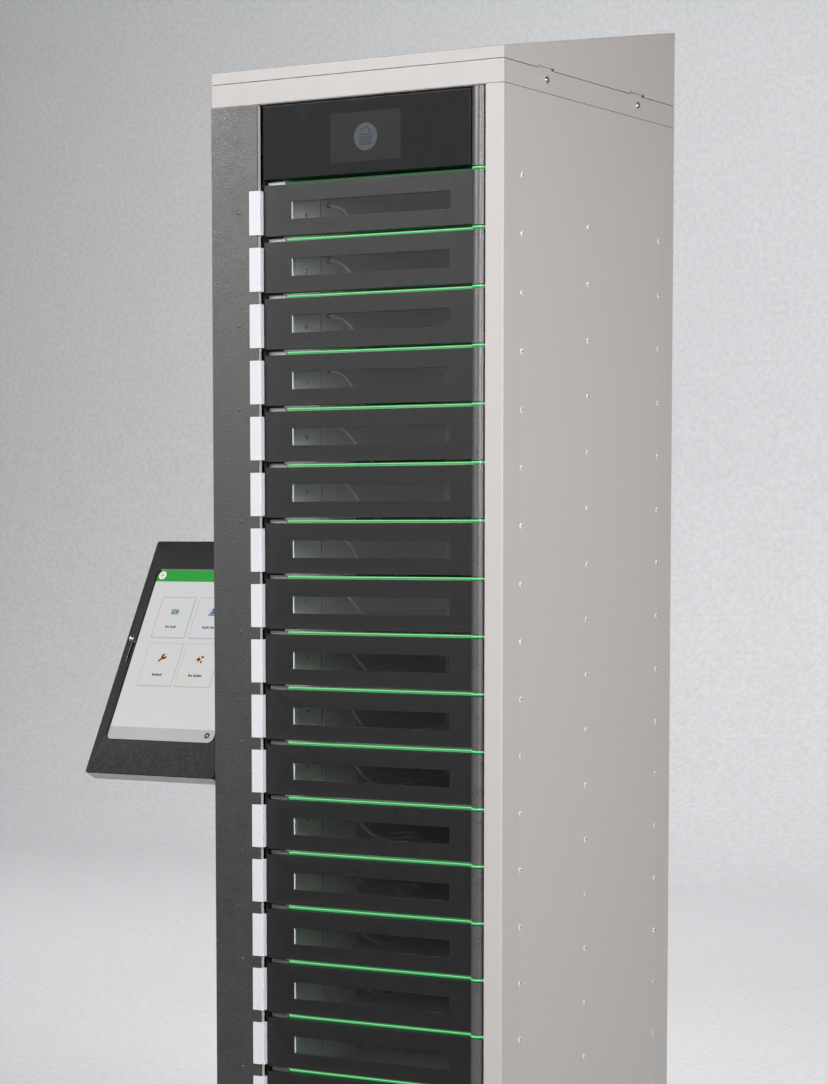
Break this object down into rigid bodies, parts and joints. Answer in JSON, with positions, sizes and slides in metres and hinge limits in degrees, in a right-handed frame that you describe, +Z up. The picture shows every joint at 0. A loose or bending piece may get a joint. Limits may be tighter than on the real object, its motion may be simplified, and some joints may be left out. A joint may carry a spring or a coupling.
{
  "type": "phone charging kiosk",
  "caption": "Tall locker tower that charges phones in small windowed bays with hinged, lit doors, under a sloping hood, with a tilting tablet terminal at its side.",
  "frame": {"origin": "on the floor at the centre of the four floor anchor holes, under the middle of the cabinet", "axes": "+Z up, the doors face -Y, +X to the right as seen from the front"},
  "size_m": [0.6316, 0.4513, 1.6926],
  "materials": {
    "shell_grey": "fine textured powder coat, warm light grey",
    "column_black": "textured black powder coat",
    "door_charcoal": "textured charcoal powder coat with a clear pane",
    "panel_black": "polished black acrylic",
    "carrier_black": "textured charcoal powder coat",
    "display": "dark display cell",
    "label_white": "smooth white label",
    "zinc": "zinc-plated sheet steel",
    "steel": "plain steel",
    "screw_bright": "zinc-plated fasteners",
    "guide_green": "edge-lit acrylic, green",
    "cable_white": "smooth white cable jacket",
    "plug_white": "moulded white plug with a steel shell",
    "lock_plastic": "moulded lock housing",
    "module_black": "moulded charging module",
    "board_green": "printed circuit board",
    "supply_metal": "perforated power supply case, light for its size",
    "inlet_black": "moulded inlet with steel blades",
    "fan_black": "moulded fan",
    "plinth_dark": "dark grey powder coat",
    "terminal_black": "fine textured black case",
    "tablet_glass": "lit tablet screen"
  },
  "bodies": {
    "cabinet": {"plinth": "plinth_dark", "plinth_bolts": "screw_bright", "floor_pan": "zinc", "bottom_rail": "door_charcoal", "side_panel_right": "shell_grey", "side_panel_left": "shell_grey", "rear_panel": "shell_grey", "crown_band": "shell_grey", "hood": "shell_grey", "m5_screws": "screw_bright", "panel_rivets": "screw_bright", "column_cover": "column_black", "number_labels": "label_white", "module_screws": "screw_bright", "lock_bodies": "lock_plastic", "bay_wall": "zinc", "bay_back_wall": "zinc", "bay_shelves": "zinc", "light_guides": "guide_green", "hinge_brackets": "zinc", "hinge_rod": "steel", "usb_modules": "module_black", "main_board": "board_green", "power_supply": "supply_metal", "power_inlet": "inlet_black", "fan_housing": "fan_black", "tablet_arm": "column_black", "arm_screws": "screw_bright", "tilt_spindle": "steel", "charge_cables": "cable_white", "cable_plugs": "plug_white"},
    "door_01": {"door_01": "door_charcoal"},
    "door_02": {"door_02": "door_charcoal"},
    "door_03": {"door_03": "door_charcoal"},
    "door_04": {"door_04": "door_charcoal"},
    "door_05": {"door_05": "door_charcoal"},
    "door_06": {"door_06": "door_charcoal"},
    "door_07": {"door_07": "door_charcoal"},
    "door_08": {"door_08": "door_charcoal"},
    "door_09": {"door_09": "door_charcoal"},
    "door_10": {"door_10": "door_charcoal"},
    "door_11": {"door_11": "door_charcoal"},
    "door_12": {"door_12": "door_charcoal"},
    "door_13": {"door_13": "door_charcoal"},
    "door_14": {"door_14": "door_charcoal"},
    "door_15": {"door_15": "door_charcoal"},
    "door_16": {"door_16": "door_charcoal"},
    "door_17": {"door_17": "door_charcoal"},
    "door_18": {"door_18": "door_charcoal"},
    "door_19": {"door_19": "door_charcoal"},
    "door_20": {"door_20": "door_charcoal"},
    "control_panel": {"panel_carrier": "carrier_black", "panel_glass": "panel_black", "touch_display": "display"},
    "tablet_head": {"tablet_tray": "terminal_black", "tablet_bezel": "terminal_black", "tablet": "tablet_glass", "dome_screw": "screw_bright"},
    "bolts": {"lock_bolts": "steel"},
    "rotor": {"fan_rotor": "fan_black"}
  },
  "joints": [
    {"name": "door_01_hinge", "type": "hinge", "parent": "cabinet", "child": "door_01", "pos_m": [0.1692, -0.2125, 1.444], "axis": [0, 0, 1], "range_deg": [0, 105]},
    {"name": "door_02_hinge", "type": "hinge", "parent": "cabinet", "child": "door_02", "pos_m": [0.1692, -0.2125, 1.376], "axis": [0, 0, 1], "range_deg": [0, 105]},
    {"name": "door_03_hinge", "type": "hinge", "parent": "cabinet", "child": "door_03", "pos_m": [0.1692, -0.2125, 1.308], "axis": [0, 0, 1], "range_deg": [0, 105]},
    {"name": "door_04_hinge", "type": "hinge", "parent": "cabinet", "child": "door_04", "pos_m": [0.1692, -0.2125, 1.24], "axis": [0, 0, 1], "range_deg": [0, 105]},
    {"name": "door_05_hinge", "type": "hinge", "parent": "cabinet", "child": "door_05", "pos_m": [0.1692, -0.2125, 1.172], "axis": [0, 0, 1], "range_deg": [0, 105]},
    {"name": "door_06_hinge", "type": "hinge", "parent": "cabinet", "child": "door_06", "pos_m": [0.1692, -0.2125, 1.104], "axis": [0, 0, 1], "range_deg": [0, 105]},
    {"name": "door_07_hinge", "type": "hinge", "parent": "cabinet", "child": "door_07", "pos_m": [0.1692, -0.2125, 1.036], "axis": [0, 0, 1], "range_deg": [0, 105]},
    {"name": "door_08_hinge", "type": "hinge", "parent": "cabinet", "child": "door_08", "pos_m": [0.1692, -0.2125, 0.968], "axis": [0, 0, 1], "range_deg": [0, 105]},
    {"name": "door_09_hinge", "type": "hinge", "parent": "cabinet", "child": "door_09", "pos_m": [0.1692, -0.2125, 0.9], "axis": [0, 0, 1], "range_deg": [0, 105]},
    {"name": "door_10_hinge", "type": "hinge", "parent": "cabinet", "child": "door_10", "pos_m": [0.1692, -0.2125, 0.832], "axis": [0, 0, 1], "range_deg": [0, 105]},
    {"name": "door_11_hinge", "type": "hinge", "parent": "cabinet", "child": "door_11", "pos_m": [0.1692, -0.2125, 0.764], "axis": [0, 0, 1], "range_deg": [0, 105]},
    {"name": "door_12_hinge", "type": "hinge", "parent": "cabinet", "child": "door_12", "pos_m": [0.1692, -0.2125, 0.696], "axis": [0, 0, 1], "range_deg": [0, 105]},
    {"name": "door_13_hinge", "type": "hinge", "parent": "cabinet", "child": "door_13", "pos_m": [0.1692, -0.2125, 0.628], "axis": [0, 0, 1], "range_deg": [0, 105]},
    {"name": "door_14_hinge", "type": "hinge", "parent": "cabinet", "child": "door_14", "pos_m": [0.1692, -0.2125, 0.56], "axis": [0, 0, 1], "range_deg": [0, 105]},
    {"name": "door_15_hinge", "type": "hinge", "parent": "cabinet", "child": "door_15", "pos_m": [0.1692, -0.2125, 0.492], "axis": [0, 0, 1], "range_deg": [0, 105]},
    {"name": "door_16_hinge", "type": "hinge", "parent": "cabinet", "child": "door_16", "pos_m": [0.1692, -0.2125, 0.424], "axis": [0, 0, 1], "range_deg": [0, 105]},
    {"name": "door_17_hinge", "type": "hinge", "parent": "cabinet", "child": "door_17", "pos_m": [0.1692, -0.2125, 0.356], "axis": [0, 0, 1], "range_deg": [0, 105]},
    {"name": "door_18_hinge", "type": "hinge", "parent": "cabinet", "child": "door_18", "pos_m": [0.1692, -0.2125, 0.288], "axis": [0, 0, 1], "range_deg": [0, 105]},
    {"name": "door_19_hinge", "type": "hinge", "parent": "cabinet", "child": "door_19", "pos_m": [0.1692, -0.2125, 0.22], "axis": [0, 0, 1], "range_deg": [0, 105]},
    {"name": "door_20_hinge", "type": "hinge", "parent": "cabinet", "child": "door_20", "pos_m": [0.1692, -0.2125, 0.152], "axis": [0, 0, 1], "range_deg": [0, 105]},
    {"name": "control_panel_hinge", "type": "hinge", "parent": "cabinet", "child": "control_panel", "pos_m": [0.1692, -0.2125, 1.524], "axis": [0, 0, 1], "range_deg": [0, 105]},
    {"name": "tablet_tilt", "type": "hinge", "parent": "cabinet", "child": "tablet_head", "pos_m": [-0.323, -0.08729, 0.87726], "axis": [1, 0, 0], "range_deg": [-15, 15]},
    {"name": "lock_bolts_slide", "type": "slide", "parent": "cabinet", "child": "bolts", "axis": [1, 0, 0], "range_m": [0, 0.009]},
    {"name": "fan_spin", "type": "hinge", "parent": "cabinet", "child": "rotor", "pos_m": [0, 0.206, 1.523], "axis": [0, 1, 0], "continuous": true}
  ]
}
